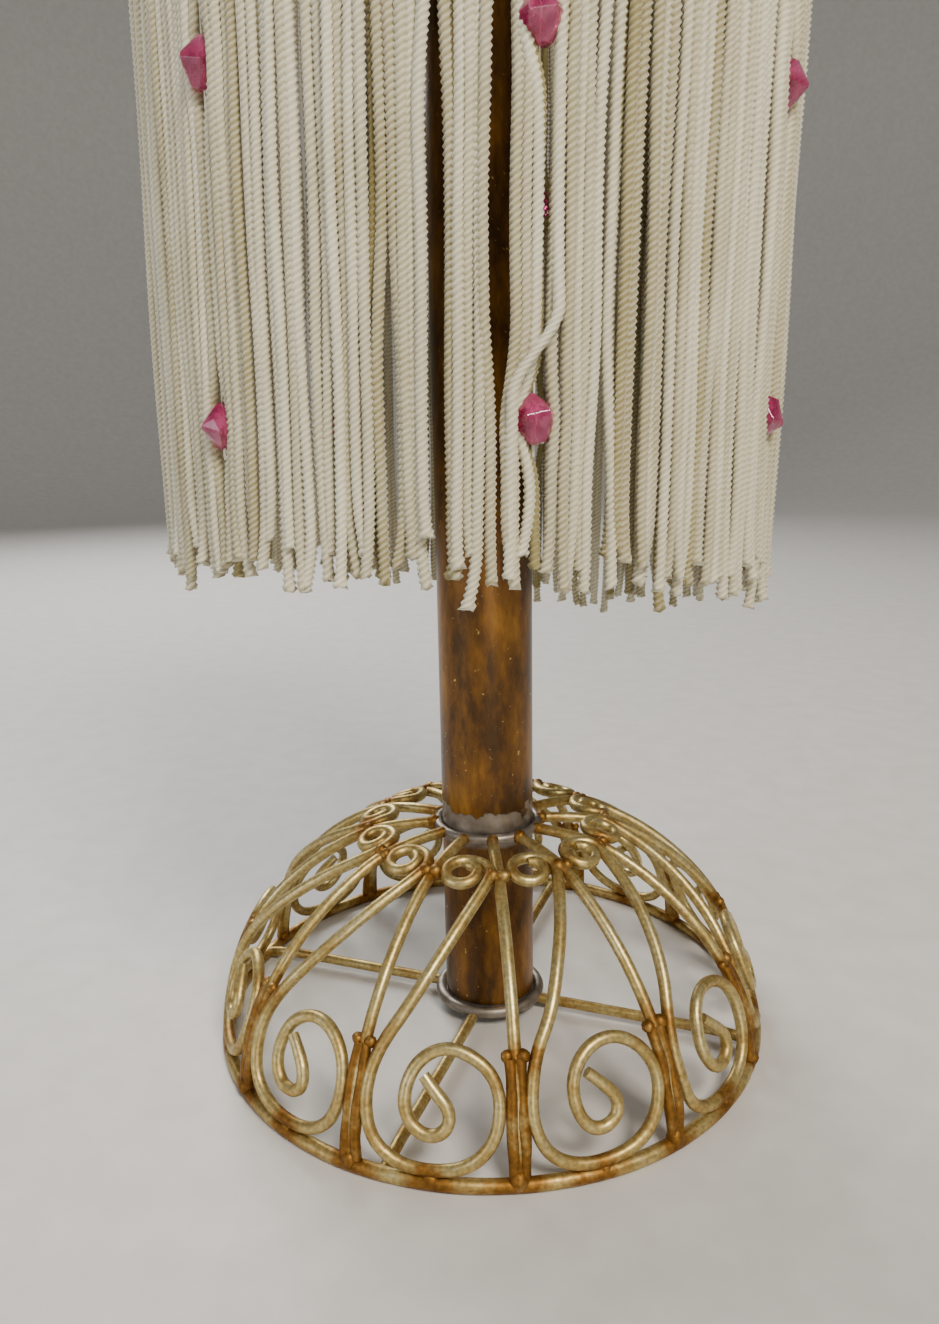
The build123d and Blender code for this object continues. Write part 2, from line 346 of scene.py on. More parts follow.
def pinkAcrylic():
    # clear pink acrylic, moulded with facets: bright edges and a deep pink inside
    material = newMaterial("pinkAcrylic")
    spot = addNode(material, "TexCoord").outputs["Object"]
    cloud = addNode(material, "TexNoise", {"Scale": 320.0, "Detail": 2.0}, {"Vector": spot})
    colour = ramp(material, cloud.outputs[0], [(0.35, srgb("A81E58")), (0.65, srgb("DE5F92"))])
    shader = addNode(material, "BsdfPrincipled",
                     {"Roughness": 0.05, "IOR": 1.49, "Transmission Weight": 0.6, "Coat Weight": 0.5,
                      "Coat Roughness": 0.02},
                     {"Base Color": colour})
    return finishMaterial(material, shader)


def ivoryBakelite():
    # moulded ivory plastic, faintly marbled with age, in clouds of about 8 mm
    material = newMaterial("ivoryPlastic")
    spot = addNode(material, "TexCoord").outputs["Object"]
    cloud = addNode(material, "TexNoise", {"Scale": 130.0, "Detail": 4.0}, {"Vector": spot})
    colour = ramp(material, cloud.outputs[0], [(0.3, srgb("D8CFB4")), (0.7, srgb("ECE5D2"))])
    bump = addNode(material, "Bump", {"Strength": 0.08, "Distance": 0.0001}, {"Height": cloud.outputs[0]})
    shader = addNode(material, "BsdfPrincipled", {"Roughness": 0.38},
                     {"Base Color": colour, "Normal": bump.outputs[0]})
    return finishMaterial(material, shader)


def clearGlass():
    # thin blown glass, its surface faintly rippled
    material = newMaterial("blownGlass")
    spot = addNode(material, "TexCoord").outputs["Object"]
    ripple = addNode(material, "TexNoise", {"Scale": 60.0, "Detail": 1.0}, {"Vector": spot})
    bump = addNode(material, "Bump", {"Strength": 0.03, "Distance": 0.001}, {"Height": ripple.outputs[0]})
    shader = addNode(material, "BsdfPrincipled",
                     {"Roughness": 0.03, "IOR": 1.5, "Transmission Weight": 1.0},
                     {"Normal": bump.outputs[0]})
    return finishMaterial(material, shader)


gilt = giltIron()
lacquer = amberLacquer(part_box("foot_top_collar")[1].z + 0.0042)
bareSteel = plainMetal("bareSteel", "6A6158", "A39A8E", 0.42, 1600.0)
zincPlate = plainMetal("zincPlatedSteel", "8F9092", "C3C4C2", 0.3, 1400.0)
turnedBrass = plainMetal("turnedBrass", "8A6A2C", "CBA35A", 0.32, 1500.0)
rayon = knittedRayon("knittedRayonCord", "8F8353", "EDE8D0")
ivory = ivoryBakelite()
glass = clearGlass()
acrylic = pinkAcrylic()
print("materials made")


def setAttribute(mesh, name, values):
    layer = mesh.attributes.new(name, "FLOAT", "POINT")
    layer.data.foreach_set("value", np.asarray(values, np.float32))


def readPoints(mesh):
    flat = np.zeros(len(mesh.vertices) * 3)
    mesh.vertices.foreach_get("co", flat)
    return flat.reshape(-1, 3)


def writePoints(mesh, points):
    mesh.vertices.foreach_set("co", np.asarray(points, np.float32).ravel())
    mesh.update()


# the wire dome's pattern, in mm on the foot's ring; across and up are measured along the dome in one panel
dome = {
    "ringRadius": 65.0,
    "ringWire": 3.0,
    "wire": 2.6,
    "rise": 0.80,            # the dome's height over its radius, had it no collar
    "crown": 0.732,          # where the collar cuts it
    "panels": 12,
    "firstRib": 3.5,         # degrees
    "panelArc": 34.03,
    "spiralRadius": 0.428,
    "spiralAt": 0.47,
    "ribTop": 0.40,
    "struts": 4,
    "firstStrut": -20.0,
    "footBends": (20.0, 4.0),    # mm in from the ring, at the two bends of a strut
    "armBends": (5.0, 6.0),      # mm out from the fitter and in from the ring
    "letIn": 0.5,            # mm that a wire's end goes into a collar
    "letIntoFitter": 0.6,
    "handError": 0.28,       # mm that a bend is off by, made by hand
    "ringError": 0.05,
    "ribSway": 0.0035,       # radians
    "solderedBelow": 9,      # mm up the panel, where solder still holds the bends in place
    "uneven": {"ring": 0.02, "rib": 0.015, "scroll": 0.018},     # spread of the wire's thickness
    "cutEnd": 0.9,           # thickness at a scroll's cut ends
    "seed": 4,
    "spiral": ((72, 2.4), (36, 3.0), (0, 3.3), (-45, 3.6), (-90, 3.8), (-135, 4.0), (-180, 4.1),
               (-225, 4.3), (-270, 4.6), (-310, 5.2), (-345, 5.9), (-370, 6.4)),
    "leg": ((20.3, 51.0), (13.9, 41.0), (8.9, 32.0), (5.0, 25.5)),
    "loop": ((3.0, 19.5), (2.9, 13.0), (5.0, 6.6), (10.0, 3.1), (17.0, 2.3), (24.5, 3.7), (29.6, 8.5),
             (31.2, 15.5), (29.6, 21.5), (24.5, 25.2), (18.5, 25.9), (13.5, 23.0), (11.4, 18.5),
             (11.6, 13.8), (14.0, 10.2), (17.6, 9.4), (20.6, 11.3), (20.9, 14.6), (18.2, 17.6),
             (15.0, 20.4)),
    "patina": {"plain": 0.04, "low": 0.10, "lowReach": 16.0, "joint": 0.26, "jointReach": 4.0, "brazing": 0.30},
}

# solder and brazing: sizes and places in mm, or in radians beside a rib
brazing = {
    "ringSpots": ((0, 1.2, 2.1), (17, 0.9, 1.45)),       # across, up, size
    "webTop": 24.5,
    "webSpots": ((0.026, 1.35), (-0.026, 1.30)),         # beside, size
    "spiralTop": 0.445,
    "spiralSpots": ((0.035, 1.5), (-0.045, 1.6)),
    "collarSpot": 1.6,
    "spotUneven": (0.88, 1.1),
    "lumpRough": 0.16,
    "lumpGrain": 1.1,
    "lumpUneven": (0.86, 1.12),
    "webSides": (-1.0, 1.1),
    "webUps": (1.5, 5, 9, 13, 17, 21, 24.0),
    "webWire": 2.5,
    "webWander": 0.16,
    "webUneven": (0.75, 1.12),
}


def slopeLength(use, t):
    return use["ringRadius"] * hypot(sin(t), use["rise"] * cos(t))


def slopeAt(use, height):
    t = 0.0
    for step in range(60):
        t += height / 60 / slopeLength(use, t)
    return t


def domePoint(use, ring, angle, t):
    radius, base = ring
    return place(radius * cos(t), angle, base + radius * min(use["rise"] * sin(t), use["crown"]))


def panelPoint(use, ring, rib, across, up):
    # a point of one panel, by its mm across from the rib and up along the dome
    angle = rib + 2 * pi / use["panels"] * across / use["panelArc"]
    return domePoint(use, ring, angle, slopeAt(use, up))


def ribAngle(use, panel):
    return radians(use["firstRib"] + 360 / use["panels"] * panel)


def scrollRoute(use, ring, rib, rng):
    panel = 2 * pi / use["panels"]
    middle = acos(use["spiralRadius"])
    route = []
    for turn, reach in use["spiral"]:
        across = reach * cos(radians(turn)) / (use["ringRadius"] * use["spiralRadius"])
        up = reach * sin(radians(turn)) / slopeLength(use, middle)
        route.append(domePoint(use, ring, rib + use["spiralAt"] * panel + across, middle + up))
    drift = rng.normal(0, use["handError"], 2)
    for across, up in use["leg"] + use["loop"]:
        wander = rng.normal(0, use["handError"] * 0.5, 2)
        loose = min(1, up / use["solderedBelow"])
        route.append(panelPoint(use, ring, rib, across + (drift[0] + wander[0]) * loose,
                                up + (drift[1] + wander[1]) * loose))
    widths = rng.normal(1, use["uneven"]["scroll"], len(route))
    widths[0] = widths[-1] = use["cutEnd"]
    return list(zip(route, widths))


def ribRoute(use, ring, rib, rng):
    crown = acos(use["ribTop"])
    sway = rng.normal(0, use["ribSway"])
    steps = 5
    route = [domePoint(use, ring, rib + sway * sin(pi * step / steps), crown * step / steps)
             for step in range(steps + 1)]
    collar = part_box("foot_top_collar")[1].x - use["letIn"] * mm
    route.append(place(collar, rib, route[-1].z))
    return list(zip(route, rng.normal(1, use["uneven"]["rib"], len(route))))


def solderSpots(use, solder, ring, rib):
    # (place, size in mm): at the ring, at the top of the web, by the spirals, and at the collar
    low = slopeAt(use, solder["webTop"])
    high = acos(solder["spiralTop"])
    collar = place(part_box("foot_top_collar")[1].x, rib, ring[1] + ring[0] * use["crown"])
    spots = [(panelPoint(use, ring, rib, across, up), size) for across, up, size in solder["ringSpots"]]
    spots += [(domePoint(use, ring, rib + beside, low), size) for beside, size in solder["webSpots"]]
    spots += [(domePoint(use, ring, rib + beside, high), size) for beside, size in solder["spiralSpots"]]
    return spots + [(collar, solder["collarSpot"])]


def lump(solder, bm, centre, size, rng):
    made = bmesh.ops.create_icosphere(bm, subdivisions=2, radius=size * mm)["verts"]
    shift = Vector(rng.uniform(-9, 9, 3))
    for vert in made:
        vert.co *= 1 + solder["lumpRough"] * noise.noise(vert.co / (solder["lumpGrain"] * mm) + shift)
    bmesh.ops.scale(bm, vec=rng.uniform(*solder["lumpUneven"], 3).tolist(), verts=made)
    bmesh.ops.translate(bm, vec=centre, verts=made)


def nearness(points, spots, reach):
    # 1 at a solder joint, falling away over the reach
    out = np.zeros(len(points))
    for spot, size in spots:
        gap = ((points - np.array(spot)) ** 2).sum(1)
        out = np.maximum(out, np.exp(-gap / reach ** 2))
    return out


def strutRise(use, prefix, ring):
    # radius and height of each point of a foot strut or a shade arm, from the middle out
    if prefix == "foot":
        low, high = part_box("foot_struts")
        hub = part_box("foot_bottom_collar")[1].x - use["letIn"] * mm
        level = (low.z + high.z) / 2
        bends = [(ring[0] - bend * mm, level) for bend in use["footBends"]]
    else:
        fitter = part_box("shade_fitter_ring")[1]
        hub = fitter.x - use["letIntoFitter"] * mm
        level = fitter.z - use["wire"] / 2 * mm
        out, back = use["armBends"]
        bends = [(hub + out * mm, level), (ring[0] - back * mm, ring[1])]
    return [(hub, level), *bends, ring]


def wearFlat(mesh, floorZ):
    # the foot is worn flat by the table
    points = readPoints(mesh)
    points[:, 2] = np.maximum(points[:, 2], floorZ)
    writePoints(mesh, points)


def makeDome(use, solder, prefix, body):
    rng = np.random.default_rng(use["seed"] + len(prefix))
    low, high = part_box(prefix + "_ring")
    ringHalf = use["ringWire"] / 2 * mm
    ring = (high.x - ringHalf, high.z - ringHalf)
    ribs = [ribAngle(use, panel) for panel in range(use["panels"])]
    spots = [spot for rib in ribs for spot in solderSpots(use, solder, ring, rib)]
    strutAngles = [radians(use["firstStrut"] + 360 / use["struts"] * k) for k in range(use["struts"])]
    rise = strutRise(use, prefix, ring)

    # the ring is a NURBS circle, which runs inside its points, so they stand a little further out
    turnCount = 64
    swell = ring[0] / (0.5 + 0.5 * cos(pi / turnCount) ** 2)
    rim = [(place(swell + rng.normal(0, use["ringError"]) * mm, 2 * pi * k / turnCount, ring[1]),
            rng.normal(1, use["uneven"]["ring"])) for k in range(turnCount)]
    ribRoutes = [ribRoute(use, ring, rib, rng) for rib in ribs]
    scrollRoutes = [scrollRoute(use, ring, rib, rng) for rib in ribs]
    strutRoutes = [[(place(r, angle, z), 1.0) for r, z in rise] for angle in strutAngles]
    wires = {
        "base_ring": ([rim], use["ringWire"], True, prefix + "_ring"),
        "rib_wires": (ribRoutes, use["wire"], False, prefix + "_ribs"),
        "scroll_wires": (scrollRoutes, use["wire"], False, prefix + "_scrolls"),
        "strut_wires": (strutRoutes, use["wire"], False, prefix + "_struts"),
    }
    patina = use["patina"]
    for name, (routes, diameter, closed, node) in wires.items():
        mesh = wireMesh(prefix + "_" + name, routes, diameter * mm, closed)
        if prefix == "foot":
            wearFlat(mesh, low.z)
        points = readPoints(mesh)
        depth = np.clip(1 - (points[:, 2] - ring[1]) / (patina["lowReach"] * mm), 0, 1)
        near = nearness(points, spots, patina["jointReach"] * mm)
        setAttribute(mesh, "patina", patina["plain"] + patina["low"] * depth + patina["joint"] * near)
        piece = newPiece(prefix + "_" + name, mesh, gilt, body)
        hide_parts(node)

    # brazing: a web up each rib's foot between the rib and the bends beside it, and lumps at the joints
    webs = []
    for rib in ribs:
        for side in solder["webSides"]:
            webs.append([(panelPoint(use, ring, rib, side + rng.normal(0, solder["webWander"]), up),
                          rng.uniform(*solder["webUneven"])) for up in solder["webUps"]])
    bm = bmesh.new()
    bm.from_mesh(wireMesh(prefix + "_web", webs, solder["webWire"] * mm))
    for spot, size in spots:
        lump(solder, bm, spot, size * rng.uniform(*solder["spotUneven"]), rng)
    mesh = meshFromBmesh(prefix + "_brazing", bm)
    if prefix == "foot":
        wearFlat(mesh, low.z)
    setAttribute(mesh, "patina", np.full(len(mesh.vertices), patina["brazing"]))
    piece = newPiece(prefix + "_brazing", mesh, gilt, body)


makeDome(dome, brazing, "foot", "stand")
makeDome(dome, brazing, "shade", "shade")
print("wire domes made")


# the hanging cords: sizes and heights in mm, angles in degrees from the front towards the right
fringe = {
    "cordDiameter": 1.95,
    "stitch": 1.07,          # length of one knitted stitch
    "knit": 0.18,            # how far the stitches stand out, as a share of the radius
    "sides": 6,
    "bankSpacing": 10.0,     # between straight cords, before each takes its place
    "firstColumn": 8.7,      # where the first sector's beads hang
    "hingeRadius": 62.2,
    "bend": (0.5, 13.0),     # depths below the cords' tops, in mm
    "sewnIn": 1.2,           # of each cord's top, inside the heading
    "heldFor": 30.0,         # below the heading, over which the cords come loose
    "outerCords": 30,
    "innerCords": 5,
    "outerRadius": 64.3,
    "innerRadius": 62.9,
    # how high the cords end, round the shade: angle and height
    "ends": ((-180, 97), (-145, 105), (-90, 117), (-40, 119), (5, 119.5), (60, 112), (110, 101), (150, 95)),
    "endScatter": 2.4,
    "mostScatter": 5.5,
    "swing": 0.75,
    "mostSwing": 1.8,
    # some cords one by one, in front: angle, height of the end, and how far the end swings sideways
    "placedEnds": ((0.4, 113.2, -1.7), (-4.8, 118.4, 1.25), (-2.4, 118.2, -1.15), (5.2, 118.8, 1.3),
                   (-9, 121.5, 0.3)),
    "tail": 11.0,            # length of the lowest part, which spreads
    "lean": 0.0182,          # the lamp leans a little to the left, and the cords hang plumb
    "seed": 23,
    "newGroup": 0.42,        # chance that a cord starts a new group
    "groupPull": (0.04, 0.2),
    "groupDrift": 0.28,
    "driftSpan": (0.13, 0.3),    # metres
    "sideWaves": ((55, 0.16), (120, 0.22)),      # span and size
    "outWaves": ((70, 0.14), (160, 0.2)),
    # angle, from and to height, half width: gaps that show the column
    "partings": ((-5.7, 112, 214, 0.55), (4.6, 140, 226, 0.85), (19.0, 106, 160, 0.3),
                 (-12.5, 108, 180, 0.25)),
    "partingReach": 3.4,
    "partingEase": (20.0, 30.0),     # at its bottom and at its top
    "beadPush": 2.45,
    "beadReach": 6.5,
    "nearBead": (0.6, 6.0),      # how far the cords beside a bead move, and how far out that fades
    "crowding": (1.0, -0.7),     # every other cord steps out and in where they are pushed together
    "stepAtParting": 0.35,       # that step, as a share of the push
    "stepAtBead": 0.22,
    "flare": 0.28,               # how much wider a cut end is, and over how many rings
    "flareRings": 3,
    "twistRate": 14,             # radians in a metre, either way
    "unevenCord": 0.04,
    "ragged": (-0.35, 0.7),      # how far the cut end's corners hang up or down
    "stray": {"side": 1.6, "slack": 1.5, "top": 160, "bottom": 146.5, "shift": -5.4, "proud": 2.3,
              "proudAt": 152.0, "proudReach": 14.0, "toneAndShade": 0.02},
}

beadZ = [z * mm for z in (143.0, 199.6, 256.2)]
sectors = len([name for name in frame["bodies"] if name.startswith("fringe_")])


def sectorAngle(number):
    return radians(fringe["firstColumn"] + 360 / sectors * (number - 1))


def leanAt(use, z):
    # sideways shift of what hangs, in metres, at height z in metres
    return -use["lean"] * np.maximum(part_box("header_braid")[0].z - z, 0)


def straightCords(use, count, rings):
    # one straight knitted tube, and an array of it; its route comes later
    bm = bmesh.new()
    radius = use["cordDiameter"] / 2 * mm
    bmesh.ops.create_circle(bm, segments=use["sides"], radius=radius)
    rise = Vector((0, 0, use["stitch"] / 2 * mm))
    bmesh.ops.spin(bm, geom=bm.edges[:], angle=0, steps=rings, dvec=rise, axis=(0, 0, 1), cent=(0, 0, 0))
    bmesh.ops.holes_fill(bm, edges=[edge for edge in bm.edges if edge.is_boundary], sides=use["sides"])
    mesh = meshFromBmesh("straightCord", bm)
    holder = bpy.data.objects.new("cordBank", mesh)
    bpy.context.scene.collection.objects.link(holder)
    copies = holder.modifiers.new("copies", "ARRAY")
    copies.count = count
    copies.use_relative_offset = False
    copies.use_constant_offset = True
    copies.constant_offset_displace = (use["bankSpacing"] * mm, 0, 0)
    made = bpy.data.meshes.new_from_object(holder.evaluated_get(bpy.context.evaluated_depsgraph_get()))
    bpy.data.objects.remove(holder)
    return made


def cordLayout(use, middle, rng):
    # resting angle, radius and darkness of each cord of one sector; the inner cords get painted shade
    half = pi / sectors
    edge = 0.5 * use["cordDiameter"] / use["outerRadius"]
    outer = middle + np.linspace(-half + edge, half - edge, use["outerCords"])
    outer += rng.normal(0, 0.0038, len(outer))
    inner = middle + np.linspace(-half * 0.9, half * 0.9, use["innerCords"])
    inner += rng.normal(0, 0.012, use["innerCords"])
    angle = np.concatenate([outer, inner])
    radius = np.concatenate([
        use["outerRadius"] + rng.normal(0, 0.36, len(outer)).clip(-0.8, 0.7),
        use["innerRadius"] + rng.normal(0, 0.25, len(inner)).clip(-0.4, 0.4)])
    # painted shade: the inner cords, which hang behind the outer ones, are given a darker tone
    toneAndShade = np.concatenate([rng.beta(1.2, 2.6, len(outer)) * 0.5, rng.uniform(0.4, 0.7, len(inner))])
    order = np.argsort(angle)
    return angle[order], radius[order] * mm, toneAndShade[order]


def eased(share):
    share = np.clip(share, 0, 1)
    return share * share * (3 - 2 * share)


def cordEnds(use, number, angle, rng):
    # height of each cord's end, and how far it swings sideways
    count = len(angle)
    ends = np.interp(np.degrees(angle), *zip(*use["ends"]), period=360) * mm
    most = use["mostScatter"]
    ends = ends + rng.normal(0, use["endScatter"], count).clip(-most, most) * mm
    most = use["mostSwing"]
    swing = rng.normal(0, use["swing"], count).clip(-most, most) * mm
    if number == 1:
        for spot, height, aside in use["placedEnds"]:
            pick = int(np.argmin(np.abs(np.degrees(angle) - spot)))
            ends[pick], swing[pick] = height * mm, aside * mm
    return ends, swing


def waves(rng, z, spans):
    # slow wander of every cord with height: one set of sines for each
    out = np.zeros(z.shape)
    for span, size in spans:
        phase = rng.uniform(0, 2 * pi, (len(z), 1))
        out = out + size * mm * np.sin(2 * pi * z / (span * mm) + phase)
    return out


def hangTogether(use, angle, z, down, rng):
    # neighbours hang in small groups that drift down the fringe, and every cord wanders a little
    across = np.zeros_like(z)
    group = np.cumsum(rng.random(len(angle)) < use["newGroup"])
    for mark in np.unique(group):
        member = group == mark
        pull = (angle[member].mean() - angle[member]) * use["outerRadius"] * mm
        across[member] += (pull * rng.uniform(*use["groupPull"]))[:, None] * down[member]
        drift = rng.normal(0, use["groupDrift"] * mm)
        span, start = rng.uniform(*use["driftSpan"]), rng.uniform(0, 6)
        across[member] += drift * np.sin(2 * pi * z[member] / span + start) * down[member]
    across += waves(rng, z, use["sideWaves"]) * down
    return across, waves(rng, z, use["outWaves"]) * down


def standAside(use, angle, middle, z, across, out):
    # cords make way for the partings and the beads, and step in and out where they crowd together
    wide = use["outerRadius"] * mm
    crowd = np.where(np.arange(len(angle)) % 2, *use["crowding"])
    bottomEase, topEase = use["partingEase"]
    for gapAngle, bottom, high, half in use["partings"]:
        side = (angle - radians(gapAngle)) * wide
        tall = eased((z - bottom * mm) / (bottomEase * mm)) * eased((high * mm - z) / (topEase * mm))
        fade = np.exp(-(side / (use["partingReach"] * mm)) ** 2)
        push = (half + 0.45 * use["cordDiameter"]) * mm * fade
        across += (np.sign(side) * push)[:, None] * tall
        out += (crowd * push * use["stepAtParting"])[:, None] * tall
    side = (angle - middle) * wide
    move, reach = use["nearBead"]
    push = np.clip(use["beadPush"] * mm - np.abs(side), 0, None)
    push += move * mm * np.exp(-(side / (reach * mm)) ** 2)
    for bead in beadZ:
        tall = np.exp(-((z - bead) / (use["beadReach"] * mm)) ** 2)
        across += (np.sign(side) * push)[:, None] * tall
        out += (crowd * push * use["stepAtBead"])[:, None] * tall


def slipStray(use, angle, middle, z, across, out, toneAndShade):
    # one pale cord crosses in front of its neighbours, just above the lowest bead in front
    stray = use["stray"]
    side = (angle - middle) * use["outerRadius"] * mm
    pick = int(np.argmin(np.abs(side - stray["side"] * mm)))
    fall = eased((stray["top"] * mm - z[pick]) / ((stray["top"] - stray["bottom"]) * mm))
    shift = stray["side"] + stray["slack"] * (1 - fall) + stray["shift"] * fall
    across[pick] = shift * mm - side[pick]
    rise = (z[pick] - stray["proudAt"] * mm) / (stray["proudReach"] * mm)
    out[pick] = stray["proud"] * mm * np.exp(-rise ** 2)
    toneAndShade[pick] = stray["toneAndShade"]


def layCords(use, rings, angle, radius, z, across, out, rng):
    # each straight cord is laid along its own route, with its stitches raised and its cut end ragged
    count = len(angle)
    spacing = use["bankSpacing"] * mm
    mesh = straightCords(use, count, rings)
    points = readPoints(mesh)
    which = np.rint(points[:, 0] / spacing).astype(int)
    level = np.rint(points[:, 2] / (use["stitch"] / 2 * mm)).astype(int)
    turn = np.arctan2(points[:, 1], points[:, 0] - which * spacing)
    nearCut = np.clip((level - rings) / use["flareRings"] + 1, 0, 1)
    flare = 1 + use["flare"] * nearCut * rng.uniform(0.2, 1.4, count)[which]
    section = 0.5 * use["cordDiameter"] * mm * flare * rng.normal(1, use["unevenCord"], count)[which]
    raised = np.cos(3 * turn - 1.5 * pi) * np.where(level % 2, -1, 1)
    section = section * (1 + use["knit"] * raised)
    spin = turn + rng.uniform(0, 2 * pi, count)[which]
    spin += rng.normal(0, use["twistRate"], count)[which] * z[which, level]
    around = angle[which] + across[which, level] / (use["outerRadius"] * mm)
    reach = radius[which] + out[which, level] + section * np.cos(spin)
    beside = section * np.sin(spin)
    ragged = (level == rings) * rng.uniform(*use["ragged"], len(level)) * mm
    height = z[which, level] - ragged
    writePoints(mesh, np.column_stack([
        reach * np.sin(around) + beside * np.cos(around) + leanAt(use, height),
        -reach * np.cos(around) + beside * np.sin(around),
        height]))
    return mesh, which, raised


def makeFringe(use, number):
    rng = np.random.default_rng(use["seed"] + 10 * number)
    middle = sectorAngle(number)
    angle, radius, toneAndShade = cordLayout(use, middle, rng)
    ends, swing = cordEnds(use, number, angle, rng)
    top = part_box("header_braid")[0].z + use["sewnIn"] * mm

    # height of every ring of every cord, then how far each is moved across and out there
    rings = int(round((top - ends.mean()) / (use["stitch"] / 2 * mm)))
    z = top - (top - ends[:, None]) * np.linspace(0, 1, rings + 1)[None, :]
    down = np.clip((top - z) / (use["heldFor"] * mm), 0, 1)
    across, out = hangTogether(use, angle, z, down, rng)
    standAside(use, angle, middle, z, across, out)

    tail = (1 - np.clip((z - ends[:, None]) / (use["tail"] * mm), 0, 1)) ** 2
    across += swing[:, None] * tail
    out += (rng.normal(0.1, 0.5, len(angle)) * mm)[:, None] * tail
    if number == 1:
        slipStray(use, angle, middle, z, across, out, toneAndShade)

    mesh, which, raised = layCords(use, rings, angle, radius, z, across, out, rng)
    # painted shade: the dips between the raised stitches are darkened
    setAttribute(mesh, "toneAndShade", toneAndShade[which] + 0.2 * (1 - raised))
    piece = newPiece(f"fringe_{number}_cords", mesh, rayon)
    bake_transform(piece)
    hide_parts(f"fringe_cords_{number}")


for number in range(1, sectors + 1):
    makeFringe(fringe, number)
print("cords hung")


# pink beads, bored from tip to tip for their thread: each is built as a solid six-sided bicone with its facets
# cut twice
bead = {
    "girdleRadius": 3.95,
    "tipRadius": 1.35,
    "halfHeight": 3.9,
    "girdle": 0.7,
    "shoulder": (2.72, 1.9),    # radius and height of the facets' middle corners
    "placeRadius": 62.8,
    "proud": 1.0,
    "tilt": 0.16,               # radians, either way
    "seed": 61,
    "thread": 0.35,
    "threadSewnIn": 1.0,
    "threadBetween": (275, 228, 171),           # heights that the thread passes above each bead
    "knot": ((4.8, 2.4), (5.8, 1.6)),           # mm under the lowest bead, and thickness
    "threadBend": (0.3, 13.0),
}


def beadShape(use):
    bm = bmesh.new()
    levels = [(use["tipRadius"], use["halfHeight"], 0), (use["shoulder"][0], use["shoulder"][1], 30),
              (use["girdleRadius"], use["girdle"] / 2, 0), (use["girdleRadius"], -use["girdle"] / 2, 0),
              (use["shoulder"][0], -use["shoulder"][1], 30), (use["tipRadius"], -use["halfHeight"], 0)]
    for radius, height, turn in levels:
        made = bmesh.ops.create_circle(bm, segments=6, radius=radius * mm)["verts"]
        shift = Matrix.Translation((0, 0, height * mm)) @ Matrix.Rotation(radians(turn), 4, "Z")
        bmesh.ops.transform(bm, matrix=shift, verts=made)
    bmesh.ops.convex_hull(bm, input=bm.verts[:])
    bmesh.ops.delete(bm, geom=[edge for edge in bm.edges if edge.is_wire], context="EDGES")
    bmesh.ops.dissolve_limit(bm, angle_limit=radians(2), verts=bm.verts[:], edges=bm.edges[:])
    bmesh.ops.bevel(bm, geom=bm.edges[:], offset=0.05 * mm, segments=1, profile=0.5, affect="EDGES",
                    offset_type="OFFSET", material=-1)
    return meshFromBmesh("beadShape", bm, smooth=False)


def beadSpot(use, middle, z):
    spot = place((use["placeRadius"] + use["proud"]) * mm, middle, z)
    spot.x += float(leanAt(fringe, z))
    return spot


def makeBeads(use, number):
    rng = np.random.default_rng(use["seed"] + number)
    middle = sectorAngle(number)
    shape = beadShape(use)
    bm = bmesh.new()
    for z in beadZ:
        before = len(bm.verts)
        bm.from_mesh(shape)
        placed = Matrix.Translation(beadSpot(use, middle, z))
        for axis in "XY":
            placed = placed @ Matrix.Rotation(rng.normal(0, use["tilt"]), 4, axis)
        placed = placed @ Matrix.Rotation(rng.uniform(0, 2 * pi), 4, "Z")
        bmesh.ops.transform(bm, matrix=placed, verts=bm.verts[before:])
    mesh = meshFromBmesh("beads", bm, smooth=False)
    piece = newPiece(f"fringe_{number}_beads", mesh, acrylic, f"fringe_{number}")
    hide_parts(f"beads_{number}")

    # the thread that each column of beads is strung on, from the heading to a knot under the lowest bead
    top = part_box("header_braid")[0].z + use["threadSewnIn"] * mm
    stops = [(top, 1)]
    for between, z in zip(use["threadBetween"], reversed(beadZ)):
        stops += [(between * mm, 1), (z, 1)]
    stops += [(beadZ[0] - drop * mm, width) for drop, width in use["knot"]]
    route = [(beadSpot(use, middle, z), width) for z, width in stops]
    mesh = wireMesh(f"fringe_{number}_thread", [route], use["thread"] * mm, sides=1, steps=4)
    setAttribute(mesh, "toneAndShade", np.full(len(mesh.vertices), 0.2))
    thread = newPiece(f"fringe_{number}_bead_thread", mesh, rayon)
    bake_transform(thread)


for number in range(1, sectors + 1):
    makeBeads(bead, number)
print("beads strung")


# the fringe's heading, in mm: plaited gimp in three rows, with a twisted piping on each edge
heading = {
    "plait": 2.6,            # along the band for one strand
    "rows": 3,
    "stepsPerRow": 6,
    "ground": 0.6,           # how far the band's ground lies inside its finished radius
    "thick": 1.3,
    "margin": 0.9,           # from each edge of the heading to the middle of its piping
    "raise": 0.55,           # that a strand stands out
    "piping": 1.9,
    "pipingSunk": 0.4,
    "pipingTwist": 3.1,      # along the piping for one strand
    "pipingGroove": 0.13,    # depth between its strands, as a share of its radius
}


